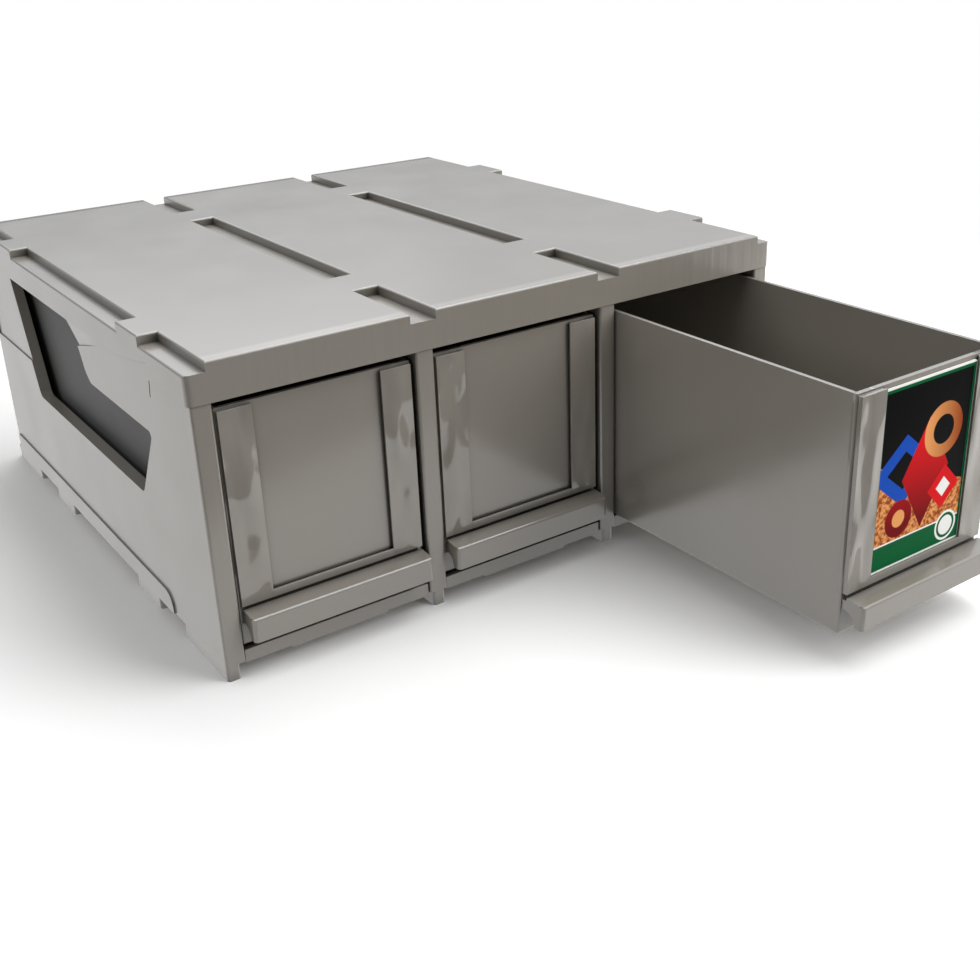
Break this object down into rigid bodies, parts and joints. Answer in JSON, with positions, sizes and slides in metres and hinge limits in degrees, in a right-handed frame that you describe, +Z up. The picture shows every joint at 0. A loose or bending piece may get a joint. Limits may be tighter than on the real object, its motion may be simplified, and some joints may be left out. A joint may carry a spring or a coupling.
{
  "type": "trading card drawer box",
  "caption": "Stackable moulded case with pull-out drawers side by side for trading cards, with label frames, hooked pulls and side windows.",
  "frame": {"origin": "on the surface that it stands on, under the middle of the closed case", "axes": "+X right along the row of drawers seen from the front, +Y from the drawer fronts to the back, +Z up"},
  "size_m": [0.331, 0.495, 0.1493],
  "materials": {
    "grey_plastic": "satin",
    "card": "gloss"
  },
  "bodies": {
    "case": {"top_cover": "grey_plastic", "left_side_panel": "grey_plastic", "right_side_panel": "grey_plastic", "left_divider": "grey_plastic", "right_divider": "grey_plastic", "left_floor_panel": "grey_plastic", "middle_floor_panel": "grey_plastic", "right_floor_panel": "grey_plastic", "back_panel": "grey_plastic"},
    "left_drawer": {"left_drawer": "grey_plastic"},
    "middle_drawer": {"middle_drawer": "grey_plastic"},
    "right_drawer": {"right_drawer": "grey_plastic", "label_card": "card"}
  },
  "joints": [
    {"name": "left_drawer_slide", "type": "slide", "parent": "case", "child": "left_drawer", "axis": [0, -1, 0], "range_m": [0, 0.3]},
    {"name": "middle_drawer_slide", "type": "slide", "parent": "case", "child": "middle_drawer", "axis": [0, -1, 0], "range_m": [0, 0.3]},
    {"name": "right_drawer_slide", "type": "slide", "parent": "case", "child": "right_drawer", "axis": [0, -1, 0], "range_m": [-0.156, 0.144]}
  ]
}
